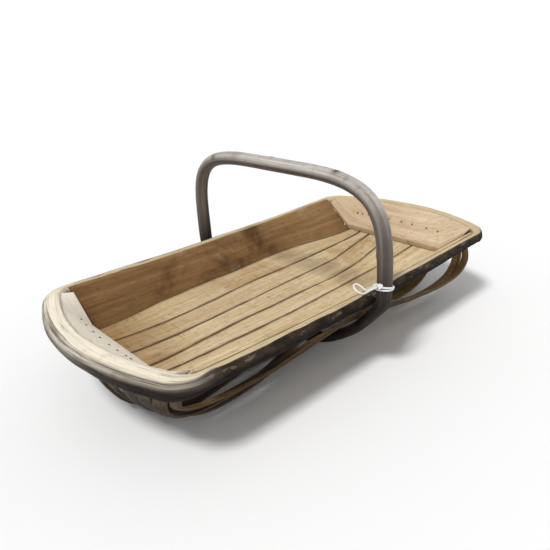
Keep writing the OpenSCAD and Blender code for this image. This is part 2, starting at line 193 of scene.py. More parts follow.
def skin(name, rings, material, node, closed=False, relief=None, shift=0.0, tint=None,
         sharp=38, plan=False):
    """A solid through equal rings, in millimetres, that stands for one CAD node.

    relief(u, v, rings) says how far the surface stands out, in millimetres, and
    tint(u, v, rings) gives the three channels of the colour attribute "wear". u and v, and the
    "grain" map that shift moves, run along and round the solid in metres. With plan the map
    lies flat over the trug, its grain across the tray. Edges above sharp degrees stay crisp.
    """
    rings = np.array(rings, float)
    count, size = rings.shape[:2]
    along = lengths(rings.mean(axis=1), closed) * MM
    around = lengths(rings[count // 2], True) * MM
    u, v = np.meshgrid(along[:count], around[:size], indexing="ij")
    if relief is not None:
        rings = rings + ring_normals(rings, closed) * relief(u, v, rings)[..., None]
    points = rings.reshape(-1, 3) * MM
    quads, caps = tube_faces(count, size, closed)
    corners = grain_corners(quads, size, along, around) + [shift, SIDEWAYS_SHIFT * shift]
    if signed_volume(points, quads) < 0:
        quads, corners = quads[:, ::-1], corners[:, ::-1]
        caps = [cap[::-1] for cap in caps]
    mesh = bpy.data.meshes.new(name)
    mesh.from_pydata(points.tolist(), [], quads.tolist() + caps)
    if plan:
        used = np.zeros(len(mesh.loops), np.int32)
        mesh.loops.foreach_get("vertex_index", used)
        grain = points[used][:, [1, 0]] * PLAN_GRAIN + shift
    else:
        cap_grain = [points[cap][:, :2] * CAP_GRAIN + shift for cap in caps]
        grain = np.vstack([corners.reshape(-1, 2), *cap_grain])
    layer = mesh.uv_layers.new(name="grain")
    layer.data.foreach_set("uv", grain.astype(np.float32).ravel())
    if tint is not None:
        wear = np.ones((count * size, 4), np.float32)
        wear[:, :3] = np.stack(np.broadcast_arrays(*tint(u, v, rings)), -1).reshape(-1, 3)
        layer = mesh.color_attributes.new("wear", "FLOAT_COLOR", "POINT")
        layer.data.foreach_set("color", wear.ravel())
    mesh.polygons.foreach_set("use_smooth", [True] * len(mesh.polygons))
    mesh.set_sharp_from_angle(angle=math.radians(sharp))
    mesh.materials.append(material)
    piece = bpy.data.objects.new(name, mesh)
    bpy.context.collection.objects.link(piece)
    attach(piece, "root")
    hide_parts(node)
    return piece


# Materials
SPECULAR = 0.25
# A dark brown for the wood's real flecks and for painted shade along board edges
FLECK_AND_SHADE_BROWN = (0.16, 0.10, 0.05)


class Graph:
    """A node material that is built up call by call."""

    def __init__(self, name):
        self.material = bpy.data.materials.new(name)
        self.material.use_nodes = True
        self.tree = self.material.node_tree
        self.shader = self.tree.nodes["Principled BSDF"]
        self.grain = self.node("ShaderNodeUVMap", uv_map="grain").outputs[0]
        self.place = self.node("ShaderNodeTexCoord").outputs["Object"]

    def node(self, kind, sockets=None, **settings):
        made = self.tree.nodes.new(kind)
        for key, value in settings.items():
            setattr(made, key, value)
        for key, value in (sockets or {}).items():
            self.put(made.inputs[key], value)
        return made

    def put(self, socket, value):
        if isinstance(value, bpy.types.NodeSocket):
            self.tree.links.new(value, socket)
        else:
            socket.default_value = value

    def stretched(self, along, across, seed=0.0):
        """The grain map, scaled along and across the grain, and moved by a seed."""
        moved, scale = (seed, seed * 1.7, seed), (along, across, 1)
        return self.node("ShaderNodeMapping", {0: self.grain, 1: moved, 3: scale}).outputs[0]

    def noise(self, vector, scale=1.0, detail=4.0, rough=0.55, warp=0.0):
        sockets = {"Vector": vector, "Scale": scale, "Detail": detail, "Roughness": rough}
        sockets["Distortion"] = warp
        return self.node("ShaderNodeTexNoise", sockets).outputs[0]

    def span(self, value, low, high, out_low=0.0, out_high=1.0):
        """A value eased from one range into another."""
        sockets = {0: value, 1: low, 2: high, 3: out_low, 4: out_high}
        return self.node("ShaderNodeMapRange", sockets, interpolation_type="SMOOTHSTEP").outputs[0]

    def math(self, operation, a, b=0.0):
        return self.node("ShaderNodeMath", {0: a, 1: b}, operation=operation).outputs[0]

    def blend(self, factor, a, b, mode="MIX"):
        """Two colours mixed; sockets 6 and 7 and output 2 are a Mix node's colours."""
        made = self.node("ShaderNodeMix", data_type="RGBA", blend_type=mode)
        for socket, value in ((made.inputs[0], factor), (made.inputs[6], a), (made.inputs[7], b)):
            self.put(socket, (*value, 1) if isinstance(value, tuple) else value)
        return made.outputs[2]

    def wear(self):
        """The three channels of the colour attribute, whose meaning each wood says."""
        made = self.node("ShaderNodeAttribute", attribute_name="wear")
        parts = self.node("ShaderNodeSeparateColor", {0: made.outputs["Color"]})
        return parts.outputs[0], parts.outputs[1], parts.outputs[2]

    def finish(self, colour, rough, heights):
        """Close the graph; heights are pairs of a height and how far it stands out, in metres."""
        self.put(self.shader.inputs["Base Color"], colour)
        self.put(self.shader.inputs["Roughness"], rough)
        self.put(self.shader.inputs["Specular IOR Level"], SPECULAR)
        normal = None
        for height, distance in heights:
            sockets = {"Strength": 1.0, "Distance": distance, "Height": height}
            if normal is not None:
                sockets["Normal"] = normal
            normal = self.node("ShaderNodeBump", sockets).outputs[0]
        self.put(self.shader.inputs["Normal"], normal)
        return self.material


def sawn_wood(name, pale, warm, dark, stain, marks):
    """Unfinished sawn board: grain along it, short dark flecks, saw marks across and stains.

    wear holds painted shade along the edges and joints, shade, and nothing.
    """
    g = Graph(name)
    fine = g.noise(g.stretched(16, 900), detail=6, rough=0.65)
    bands = g.noise(g.stretched(3.2, 110, 3), detail=5, rough=0.6, warp=0.6)
    patches = g.noise(g.place, scale=11, detail=5, rough=0.62, warp=0.5)
    blotches = g.noise(g.place, scale=38, detail=4, rough=0.6)
    flecks = g.span(g.noise(g.stretched(70, 1500, 5), detail=2), 0.62, 0.69)
    cross = g.span(g.noise(g.stretched(430, 26, 8), detail=2, rough=0.4), 0.6, 0.72)
    where = g.span(g.noise(g.place, scale=17, detail=2), 0.5, 0.62)
    saw = g.math("MULTIPLY", g.math("MULTIPLY", cross, where), marks)
    colour = g.blend(g.span(bands, 0.32, 0.7), warm, pale)
    colour = g.blend(g.span(fine, 0.35, 0.75, 0.0, 0.55), colour, dark)
    colour = g.blend(g.span(patches, 0.5, 0.72, 0.0, stain), colour, warm, "MULTIPLY")
    colour = g.blend(g.span(blotches, 0.55, 0.75, 0.0, 0.12), colour, (0.62, 0.60, 0.56))
    colour = g.blend(g.math("MULTIPLY", flecks, 0.7), colour, FLECK_AND_SHADE_BROWN)
    colour = g.blend(g.math("MULTIPLY", saw, 0.6), colour, dark)
    edge, shade, _ = g.wear()
    # Painted shade along the edges and joints, broken up by the blotches
    broken_edge_shade = g.math("MULTIPLY", edge, g.span(blotches, 0.3, 0.6, 0.6, 1.0))
    colour = g.blend(broken_edge_shade, colour, FLECK_AND_SHADE_BROWN)
    colour = g.blend(shade, colour, (0.42, 0.27, 0.12), "MULTIPLY")
    height = g.math("SUBTRACT", g.math("ADD", fine, g.math("MULTIPLY", bands, 1.2)), saw)
    rough = g.span(patches, 0.3, 0.8, 0.62, 0.85)
    return g.finish(colour, rough, [(height, 0.00035), (flecks, -0.0003)])


def bark_wood(name):
    """Weathered bark, with a shaved pale band that has a ragged edge.

    wear holds the shaved band, the paler weathered end, and painted shade on the underside.
    """
    g = Graph(name)
    band, pale_end, under = g.wear()
    ridges = g.noise(g.stretched(9, 330), detail=6, rough=0.62, warp=0.4)
    strips = g.noise(g.stretched(3, 95, 4), detail=4, rough=0.6, warp=0.5)
    lumps = g.noise(g.place, scale=46, detail=6, rough=0.66)
    flakes = g.span(g.noise(g.stretched(42, 90, 9), detail=4, rough=0.6), 0.56, 0.66)
    cracks = g.span(g.noise(g.stretched(11, 620, 2), detail=3), 0.37, 0.3)
    brown = g.blend(g.span(lumps, 0.35, 0.7), (0.012, 0.008, 0.005), (0.060, 0.040, 0.024))
    brown = g.blend(g.span(strips, 0.58, 0.76, 0.0, 0.5), brown, (0.15, 0.115, 0.075))
    grey = g.blend(g.span(ridges, 0.34, 0.58), (0.20, 0.165, 0.13), (0.76, 0.71, 0.60))
    grey = g.blend(g.span(strips, 0.36, 0.56, 0.6, 0.0), grey, (0.24, 0.19, 0.14))
    grey = g.blend(g.span(lumps, 0.5, 0.66, 0.0, 0.35), grey, (0.30, 0.25, 0.19))
    bark = g.blend(pale_end, brown, grey)
    bark = g.blend(g.math("MULTIPLY", flakes, 0.3), bark, (0.32, 0.26, 0.18))
    fibre = g.span(g.noise(g.stretched(12, 1000, 6), detail=5, rough=0.6), 0.35, 0.7)
    shaved = g.blend(fibre, (0.66, 0.54, 0.35), (0.46, 0.34, 0.18))
    weathered = g.blend(fibre, (0.88, 0.81, 0.67), (0.70, 0.62, 0.49))
    shaved = g.blend(pale_end, shaved, weathered)
    shaved = g.blend(g.span(lumps, 0.52, 0.7, 0.0, 0.35), shaved, (0.42, 0.34, 0.22))
    shaved = g.blend(g.span(strips, 0.56, 0.72, 0.0, 0.45), shaved, (0.38, 0.32, 0.24))
    ragged = g.math("ADD", band, g.math("MULTIPLY", g.math("SUBTRACT", lumps, 0.5), 0.25))
    colour = g.blend(g.span(ragged, 0.42, 0.6), bark, shaved)
    cracked = g.math("MULTIPLY", cracks, g.math("SUBTRACT", 1.0, g.math("MULTIPLY", band, 0.8)))
    colour = g.blend(cracked, colour, (0.035, 0.026, 0.018))
    # Painted shade on the underside
    colour = g.blend(under, colour, (0.06, 0.042, 0.028), "MULTIPLY")
    coarse = g.math("ADD", lumps, g.math("MULTIPLY", flakes, 0.6))
    height = g.math("ADD", g.math("MULTIPLY", ridges, 1.6), coarse)
    rough = g.span(ragged, 0.3, 0.7, 0.9, 0.7)
    return g.finish(colour, rough, [(height, 0.0011), (cracks, -0.0008)])


def pole_wood(name):
    """Smooth weathered pole: grey-brown with long fine streaks, darker stains and knots.

    wear holds the knots, the shade low down, and the topside, painted paler as light from above.
    """
    g = Graph(name)
    fine = g.noise(g.stretched(10, 620), detail=6, rough=0.62, warp=0.3)
    bands = g.noise(g.stretched(2.5, 120, 3), detail=4, rough=0.6, warp=0.6)
    patches = g.noise(g.place, scale=24, detail=5, rough=0.62)
    mottles = g.noise(g.place, scale=95, detail=4, rough=0.6)
    knots, shade, lit_topside = g.wear()
    colour = g.blend(g.span(bands, 0.35, 0.68), (0.065, 0.052, 0.043), (0.18, 0.155, 0.135))
    # The topside is painted a paler grey, in patches, as light falling from above
    lit_top_grey = g.blend(g.span(bands, 0.35, 0.65), (0.40, 0.36, 0.32), (0.68, 0.64, 0.59))
    painted_top_light = g.math("MULTIPLY", lit_topside, g.span(patches, 0.3, 0.6, 0.55, 1.0))
    colour = g.blend(painted_top_light, colour, lit_top_grey)
    colour = g.blend(g.span(fine, 0.4, 0.75, 0.0, 0.6), colour, (0.13, 0.10, 0.08))
    colour = g.blend(g.span(patches, 0.54, 0.72, 0.0, 0.5), colour, (0.16, 0.12, 0.09))
    colour = g.blend(g.span(mottles, 0.58, 0.74, 0.0, 0.45), colour, (0.12, 0.085, 0.06))
    colour = g.blend(knots, colour, (0.075, 0.05, 0.035))
    colour = g.blend(shade, colour, (0.10, 0.07, 0.05), "MULTIPLY")
    height = g.math("ADD", fine, g.math("MULTIPLY", mottles, 0.6))
    rough = g.span(patches, 0.3, 0.75, 0.75, 0.52)
    return g.finish(colour, rough, [(height, 0.0005), (bands, 0.0006)])


def lath_wood(name):
    """Riven lath: brown bark patches on a yellow-orange split face.

    wear holds the worn edges, the bark side, and a cast: paler above 0.5, darker below it as
    painted shade.
    """
    g = Graph(name)
    edge, outside, cast = g.wear()
    fine = g.noise(g.stretched(14, 900), detail=6, rough=0.62)
    bands = g.noise(g.stretched(4, 170, 3), detail=4, rough=0.6, warp=0.5)
    patches = g.noise(g.place, scale=20, detail=5, rough=0.62)
    split = g.blend(g.span(bands, 0.35, 0.68), (0.18, 0.095, 0.032), (0.42, 0.30, 0.12))
    bark = g.blend(g.span(patches, 0.4, 0.68), (0.022, 0.014, 0.008), (0.085, 0.058, 0.034))
    colour = g.blend(outside, split, bark)
    colour = g.blend(g.span(fine, 0.42, 0.75, 0.0, 0.6), colour, (0.10, 0.065, 0.035))
    paler = g.math("MULTIPLY", g.span(cast, 0.5, 1.0), g.span(bands, 0.3, 0.6, 0.5, 1.0))
    colour = g.blend(paler, colour, (0.30, 0.225, 0.14))
    # Painted shade where the cast is below 0.5
    colour = g.blend(g.span(cast, 0.5, 0.0), colour, (0.08, 0.05, 0.035), "MULTIPLY")
    colour = g.blend(g.math("MULTIPLY", edge, 0.5), colour, (0.09, 0.055, 0.03))
    height = g.math("ADD", fine, bands)
    return g.finish(colour, g.span(patches, 0.3, 0.8, 0.6, 0.85), [(height, 0.0006)])


def string_fibre(name):
    g = Graph(name)
    fibres = g.noise(g.stretched(900, 2600), detail=3)
    colour = g.blend(g.span(fibres, 0.3, 0.7), (0.70, 0.68, 0.65), (0.93, 0.92, 0.90))
    return g.finish(colour, 0.9, [(fibres, 0.0002)])


def dull_iron(name, clean, rusted):
    g = Graph(name)
    rust = g.noise(g.place, scale=900, detail=3)
    colour = g.blend(g.span(rust, 0.4, 0.65), clean, rusted)
    return g.finish(colour, 0.65, [(rust, 0.0002)])


FLOOR_WOOD = sawn_wood(
    "floor_wood", pale=(0.80, 0.66, 0.43), warm=(0.62, 0.47, 0.26), dark=(0.26, 0.165, 0.075),
    stain=0.6, marks=1.0
)
NEAR_WOOD = sawn_wood(
    "near_wall_wood", pale=(0.78, 0.65, 0.42), warm=(0.60, 0.46, 0.25), dark=(0.28, 0.18, 0.09),
    stain=0.5, marks=0.4
)
FAR_WOOD = sawn_wood(
    "far_wall_wood", pale=(0.36, 0.22, 0.095), warm=(0.23, 0.125, 0.045),
    dark=(0.12, 0.065, 0.022), stain=0.8, marks=0.2
)
# The left end board is weathered pale, and made paler still as painted light, since the sun barely
# reaches its slope
LEFT_WOOD = sawn_wood(
    "left_end_wood", pale=(0.95, 0.90, 0.79), warm=(0.90, 0.84, 0.72), dark=(0.74, 0.67, 0.56),
    stain=0.12, marks=0.25
)
# The right end board's wood is made a little paler overall as painted light
RIGHT_WOOD = sawn_wood(
    "right_end_wood", pale=(0.76, 0.62, 0.44), warm=(0.63, 0.48, 0.31), dark=(0.34, 0.22, 0.12),
    stain=0.5, marks=0.6
)
BARK = bark_wood("bark")
POLE = pole_wood("weathered_pole")
LATH = lath_wood("riven_lath")
STRING = string_fibre("white_string")
IRON = dull_iron("dull_iron", clean=(0.035, 0.028, 0.024), rusted=(0.12, 0.065, 0.035))
RUST = dull_iron("rusted_iron", clean=(0.09, 0.05, 0.025), rusted=(0.20, 0.11, 0.05))


# Rim: half sizes, the ends' bow, the corners' radius, and the bark pole's sizes
HALF_W, HALF_L, BOW, CORNER = 150, 257, 37, 18
RIM_Z, SHEER = 105, 5
SIDE_H, END_H = 18, 26
SIDE_TOP, END_DEPTH = 6.4, 14
SIDE_STEPS, END_STEPS, BEND_STEPS = 200, 110, 16


def rim_top(x):
    return RIM_Z + SHEER * (x / HALF_L) ** 2


def end_inner_x(y, depth):
    """How far out a line lies that runs this depth inside the rim's bowed end."""
    slope = 2 * BOW * y / HALF_W**2
    return HALF_L + BOW * (1 - (y / HALF_W) ** 2) - depth * np.hypot(1, slope)


def rim_plan():
    """The pole's line seen from above, from the far side's right end round to the left."""
    x, y = HALF_L - CORNER, HALF_W - CORNER

    def run(p, q, steps):
        return [mix(np.array(p, float), np.array(q, float), k / steps) for k in range(steps)]

    def bend(cx, cy, start):
        angles = [math.radians(start + 90 * k / BEND_STEPS) for k in range(BEND_STEPS)]
        return [np.array([cx + CORNER * math.cos(a), cy + CORNER * math.sin(a)]) for a in angles]

    p = np.array(
        run((x, HALF_W), (-x, HALF_W), SIDE_STEPS) + bend(-x, y, 90)
        + run((-HALF_L, y), (-HALF_L, -y), END_STEPS) + bend(-x, -y, 180)
        + run((-x, -HALF_W), (x, -HALF_W), SIDE_STEPS) + bend(x, -y, 270)
        + run((HALF_L, -y), (HALF_L, y), END_STEPS) + bend(x, y, 0)
    )
    out = BOW * (1 - (p[:, 1] / HALF_W) ** 2) * (np.abs(p[:, 0]) / HALF_L) ** 4
    p[:, 0] += np.sign(p[:, 0]) * out
    return p


def rim_section(end, x):
    """Points (outward, up) round the pole; end is 1 at the ends and 0 on the long sides."""
    h = mix(SIDE_H, END_H, end) * (1 - 0.2 * clamp((x + 60) / 300))
    b = 7 - 3.6 * x / HALF_L
    foot = mix(SIDE_TOP + 0.41 * h, END_DEPTH, end)
    return rounded([
        (-mix(SIDE_TOP, END_DEPTH, end), 0), (-0.5, 0), (0.35 * b, -0.05 * h),
        (0.77 * b, -0.18 * h), (b, -0.38 * h), (0.97 * b, -0.58 * h), (0.68 * b, -0.8 * h),
        (0, -0.97 * h), (-5, -h), (-foot, -h)
    ])


def make_rim():
    plan = rim_plan()
    along = unit(np.roll(plan, -1, axis=0) - np.roll(plan, 1, axis=0))
    rings, outward, depth = [], [], []
    for p, d in zip(plan, along):
        out = np.array([d[1], -d[0]])
        s = rim_section(abs(out[0]), p[0])
        edges = zip(s, np.roll(s, -1, axis=0))
        s = np.array([mix(a, b, t / 3) for a, b in edges for t in range(3)])
        x, y = p[0] + s[:, 0] * out[0], p[1] + s[:, 0] * out[1]
        rings.append(np.column_stack([x, y, rim_top(p[0]) + s[:, 1]]))
        outward.append(s[:, 0])
        depth.append(-s[:, 1])
    outward, depth = np.array(outward), np.array(depth)
    bark_side = smooth_step(outward, -1.5, 2.5)

    def relief(u, v, rings):
        ridge = fractal(u * 9, v * 170, seed=3)
        lump = fractal(u * 22, v * 45, seed=5)
        sway = fractal(u * 7, 0 * v, seed=9, octaves=2)
        split = -smooth_step(fractal(u * 5, v * 240, seed=15, octaves=2), 0.45, 0.8)
        rugged = 0.42 * ridge + 0.55 * lump + 0.5 * sway + 0.7 * split
        return bark_side * rugged + (1 - bark_side) * 0.12 * lump

    def tint(u, v, rings):
        x, y = rings[..., 0], rings[..., 1]
        edge = fractal(u * 30, 0 * v, seed=21, octaves=2) * 0.9
        reach = 0.5 + 0.8 * smooth_step(-x, 220, 265)
        band = smooth_step(reach + 0.3 * edge - depth, -0.9, 1.2)
        away = smooth_step(y, -140, 20)
        left = smooth_step(-x, 212, 272) * (1 - (0.75 - 0.45 * away) * smooth_step(depth, 4, 12))
        left *= 1 - 0.5 * (1 - away) * bark_side
        inner = smooth_step(-outward, 3, 6) * (1 - smooth_step(depth, 8, 14))
        # Painted shade low on the pole's section, deeper on the near side
        painted_underside_shade = smooth_step(depth, 2, 10) * (0.97 - 0.3 * away)
        return np.maximum(band, inner), left, painted_underside_shade

    skin("rim", rings, BARK, "rim_hoop", closed=True, relief=relief, tint=tint, sharp=60)


make_rim()


# Tray: a row of SEAMS is one seam's y at each of SEAM_X, and the outer two are the walls' feet
EDGE_X, BOARD_T, GAP = 236, 4.5, 1.4
SEAM_STEPS = 4
SEAMS = np.array([
    [-92, -98, -103, -98, -90], [-54, -51, -49, -43, -40], [-33, -20, -17, -14, 9],
    [8, 14, 21, 26, 46], [49, 53, 63, 65, 66], [90, 109, 114, 116, 88]
], float)
FLOOR_Z, END_LIFT, BOARD_LIFT = 58, 6, 7.6
WALL_TOP_Y, WALL_T, TOP_GAP = 138, 5.1, 0.6
END_T, END_HALF_W, CLIMB_Y, TIP_THINNING = 6.3, 130, 90, 3.8
BURIED_EDGE = 0.4


def seam_y(seam, x):
    """A smooth line through the seam's points, which are evenly spaced along the tray."""
    t = min(SEAM_STEPS - 0.001, max(0, (x + EDGE_X) / (2 * EDGE_X / SEAM_STEPS)))
    i = int(t)
    f = t - i
    a, b, c, d = seam[max(0, i - 1)], seam[i], seam[i + 1], seam[min(SEAM_STEPS, i + 2)]
    bend, twist = a - 2.5 * b + 2 * c - d / 2, 1.5 * (b - c) + (d - a) / 2
    return b + f * (c - a) / 2 + f * f * bend + f**3 * twist


def floor_z(x, y):
    """The floor's top: nearly flat, and turned up past EDGE_X under the end boards."""
    rise = (47 - END_LIFT - BOARD_LIFT + 2.5) / (end_inner_x(y, END_DEPTH) - EDGE_X) - 0.12
    v = abs(x) - EDGE_X - 3
    return FLOOR_Z + END_LIFT * (x / EDGE_X) ** 4 + rise * (v + math.sqrt(v * v + 16)) / 2


def plank(width, thickness, across, easing=0.9):
    """A board's section, from its underside round: (share of width, depth), with eased edges."""
    e = easing / width
    top = [(1, -easing), (1 - 0.3 * e, -0.3 * easing), (1 - e, 0)]
    top += [(t, 0) for t in np.linspace(1 - e, e, across)[1:-1]]
    top += [(e, 0), (0.3 * e, -0.3 * easing), (0, -easing)]
    under = [(0, -thickness + 0.4), (e, -thickness)] + [(t, -thickness) for t in (0.25, 0.5, 0.75)]
    under += [(1 - e, -thickness), (1, -thickness + 0.4)]
    return under + top


def make_floor_board(i):
    low, high = SEAMS[i - 1], SEAMS[i]
    reach = float(end_inner_x(60, END_DEPTH + 4.9)) - BOARD_T * 0.8
    turned_up = np.linspace(EDGE_X + 12, reach, 7)
    flat = np.linspace(-EDGE_X - 10, EDGE_X + 10, 190)
    xs = np.concatenate([-np.linspace(reach, EDGE_X + 12, 7), flat, turned_up])
    rings, edges = [], []
    for x in xs:
        a, b = seam_y(low, x) + GAP / 2, seam_y(high, x) - GAP / 2
        a += 0.5 * float(fractal(x * 0.03, i, seed=40, octaves=2))
        b += 0.5 * float(fractal(x * 0.03, i + 1, seed=40, octaves=2))
        ring = []
        for share, dip in plank(b - a, BOARD_T, 16):
            y = mix(a, b, share)
            slope = floor_z(x + 0.5, y) - floor_z(x - 0.5, y)
            n = unit(np.array([-slope, 1.0]))
            ring.append((x + dip * n[0], y, floor_z(x, y) + dip * n[1]))
            edges.append(min(share, 1 - share) * (b - a))
        rings.append(ring)
    edges = np.array(edges).reshape(len(xs), -1)

    def relief(u, v, rings):
        cup = 0.35 * fractal(u * 5, rings[..., 1] * 0.03, i, seed=50, octaves=2)
        fine = 0.10 * fractal(u * 30, v * 300, i, seed=51)
        return cup + fine + 0.16 * fractal(u * 8, v * 90, i, seed=52)

    def tint(u, v, rings):
        x, y = rings[..., 0], rings[..., 1]
        ragged = 2.6 + 1.8 * fractal(u * 25, i, seed=55, octaves=2)
        # Painted shade along each board's edges, next to the gaps
        painted_edge_shade = 0.92 * (1 - smooth_step(edges, 0.3, np.maximum(1.2, ragged)))
        far = smooth_step(y, -50, 70)
        left, right = smooth_step(-x, 130, 238), smooth_step(x, 190, 240)
        corner = left * (0.25 + 0.45 * far) + right * 0.12
        shade = corner + 0.12 * fractal(u * 3, i, seed=57) + (i - 1) * 0.045
        return painted_edge_shade, np.clip(shade, 0, 1), 0 * u

    name = f"floor_board_{i}"
    skin(name, rings, FLOOR_WOOD, name, relief=relief, shift=1.3 * i, tint=tint)


def make_side_board(name, side, material):
    seam = SEAMS[5] if side > 0 else SEAMS[0]
    outer = [(t, 1.0) for t in np.linspace(0.0, 0.985, 12)]
    inner = [(t, 0.0) for t in np.linspace(0.985, 0.0, 22)]
    section = outer + [(1, 0.85), (1, 0.15)] + inner
    xs = np.linspace(-EDGE_X - 1, EDGE_X + 1, 170)
    rings = []
    for x in xs:
        y = abs(seam_y(seam, x)) + GAP / 2
        foot, top = floor_z(x, y) - BOARD_T + 0.5, rim_top(x) - TOP_GAP
        rings.append([
            (x, side * (mix(y, WALL_TOP_Y, t) + WALL_T * out), mix(foot, top, t))
            for t, out in section
        ])
    climb = np.array([[t for t, _ in section]] * len(xs))

    def relief(u, v, rings):
        waves = 0.2 * fractal(u * 6, v * 40, seed=60 + side)
        return waves + 0.08 * fractal(u * 24, v * 300, seed=62 + side)

    def tint(u, v, rings):
        # Painted shade where the wall meets the floor boards, sent down the edge channel
        foot = 1 - smooth_step(climb, 0.0, 0.10)
        ends = smooth_step(np.abs(rings[..., 0]), 205, 238)
        left = smooth_step(-rings[..., 0], -60, 230) * 0.35
        shade = 0.25 * ends + 0.2 * (1 - climb) + left * (side > 0)
        return foot * 0.8, np.clip(shade, 0, 1), 0 * u

    skin(name, rings, material, name, relief=relief, shift=9.0 + side, tint=tint)


def end_board_x(y, t):
    """From the board's straight inner edge at t = 0 to its bowed outer edge at t = 1."""
    return mix(EDGE_X, float(end_inner_x(y, END_DEPTH - BURIED_EDGE)), t)


def tip_loss(y):
    return TIP_THINNING * max(0, (abs(y) - CLIMB_Y) / (END_HALF_W - CLIMB_Y))


def end_board_z(y, t):
    foot, top = floor_z(EDGE_X, CLIMB_Y), rim_top(EDGE_X) - TOP_GAP
    wall = mix(foot, top, max(0, (abs(y) - CLIMB_Y) / (WALL_TOP_Y - CLIMB_Y)))
    outer = rim_top(end_board_x(y, 1)) - 0.5
    return mix(min(wall + BOARD_LIFT - tip_loss(y), outer - 1), outer, t)


def make_end_board(name, end, material):
    above = [0.0, 0.008, 0.02, *np.linspace(0.04, 0.98, 22), 1.0]
    below = [1.0, 0.75, 0.5, 0.25, 0.0]
    ys = np.linspace(-END_HALF_W, END_HALF_W, 130)
    rings = []
    for y in ys:
        ring = []
        for t in above:
            sink = 0.9 * (1 - smooth_step(t, 0, 0.02))
            ring.append((end * end_board_x(y, t), y, end_board_z(y, t) - sink))
        for t in below:
            ring.append((end * end_board_x(y, t), y, end_board_z(y, t) - END_T + tip_loss(y)))
        rings.append(ring)
    shares = np.array([above + below] * len(ys))

    def relief(u, v, rings):
        waves = 0.22 * fractal(u * 9, v * 30, seed=70 + end)
        return waves + 0.1 * fractal(u * 20, v * 260, seed=73 + end)

    def tint(u, v, rings):
        # Painted shade along the inner edge where the board meets the floor
        painted_lip_shade = (1 - smooth_step(shares, 0.0, 0.03)) * 0.55
        far = 0.25 * smooth_step(rings[..., 1], -60, 40) * (end > 0)
        return painted_lip_shade, 0.10 * (1 - smooth_step(shares, 0, 0.35)) + far, 0 * u

    skin(name, rings, material, name, relief=relief, shift=14.0 + end, tint=tint,
         plan=True)


for number in range(1, 6):
    make_floor_board(number)
make_side_board("side_board_near", -1, NEAR_WOOD)
make_side_board("side_board_far", 1, FAR_WOOD)
make_end_board("end_board_left", -1, LEFT_WOOD)
make_end_board("end_board_right", 1, RIGHT_WOOD)


# Laths, as routes from the left end to the right for the far side, middle lath first
LATH_T = 4
BELLY_Z = LATH_T / 2
LATHS, MID_LATH = 11, 6


def lath_top(y):
    x = float(end_inner_x(y, END_DEPTH + 0.6 + LATH_T / 2))
    return [[x, y, 97.5], [x, y, 88], [x, y, 77]]


def route(left_y, left, right, right_y):
    """A whole route: left is given with x towards the left end, and is turned round here."""
    start = [[-x, y, z] for x, y, z in lath_top(left_y) + left]
    return start + right + lath_top(right_y)[::-1]


# Each lath is (route, width, tilt in degrees where it passes under the middle)
FAR_LATHS = [
    (route(0,
           [[277, 0, 64], [270, 0, 44], [257, 0, 20], [236, 0, BELLY_Z], [210, 0, BELLY_Z],
            [180, 0, BELLY_Z], [150, 0, BELLY_Z], [105, 0, 6], [55, 0, 15.4]],
           [[0, 0, 17.4], [55, 0, 15.4], [105, 0, 6], [150, 0, BELLY_Z], [180, 0, BELLY_Z],
            [210, 0, BELLY_Z], [236, 0, BELLY_Z], [257, 0, 20], [270, 0, 44], [277, 0, 64]],
           0), 17.6, 0),
    (route(28,
           [[276, 28, 65], [268, 28, 46], [252, 28, 26], [232, 26.5, 4], [205, 24, BELLY_Z],
            [180, 21.5, BELLY_Z], [150, 19.5, BELLY_Z], [105, 18.5, 6], [55, 18.4, 15.4]],
           [[0, 18.4, 17.4], [55, 18.4, 15.4], [105, 18.4, 6], [150, 18.4, BELLY_Z],
            [180, 18.5, BELLY_Z], [210, 18.8, BELLY_Z], [235, 19.4, 3], [255, 20, 23],
            [269, 20.3, 45], [276.5, 20.3, 64]],
           20.3), 17.6, 0),
    (route(59,
           [[271.5, 59, 65], [264, 59, 46], [248, 58, 28], [226, 54.5, 12], [200, 48.5, 3.6],
            [170, 42.5, 2.4], [140, 38.5, 3], [100, 37, 7], [55, 36.8, 15.6]],
           [[0, 36.8, 18.6], [55, 36.8, 15.6], [100, 36.8, 7], [140, 36.9, 3], [172, 37.3, 2.4],
            [203, 38, 2.8], [231, 39.2, 6], [252, 40.2, 25], [267, 40.6, 45], [274.5, 40.6, 64]],
           40.6), 17.6, 5),
    (route(84,
           [[267, 84, 65], [260, 84, 50], [245, 83, 35], [222, 81, 21], [196, 78, 9.6],
            [165, 75, 5.4], [130, 73, 5.2], [90, 71, 9.4], [50, 63.5, 18.4]],
           [[0, 54.4, 22.8], [50, 55.2, 17], [90, 55.2, 8.4], [130, 55.4, 4.4], [165, 55.8, 3.6],
            [200, 56.8, 4.8], [228, 58.5, 12], [249, 60.4, 29], [264, 61, 47], [271, 61, 65]],
           61), 17.6, 16),
    (route(107,
           [[265, 107, 62], [252, 108, 46], [215, 107, 36], [140, 102.5, 33.5], [60, 96, 36.4]],
           [[0, 93.6, 38.8], [60, 95.2, 35.4], [125, 99.6, 25.4], [195, 104, 21],
            [242, 106.5, 28], [262, 107, 50]],
           107), 17, 31),
    (route(122.8,
           [[256, 124.5, 68], [242, 126, 60], [190, 127, 52], [140, 127, 51.4], [75, 130, 59.6]],
           [[0, 131.4, 71], [75, 130.4, 56.8], [140, 127, 42], [200, 123.4, 35],
            [243, 123.2, 42], [257, 124, 60]],
           122.8), 13.5, 52),
]


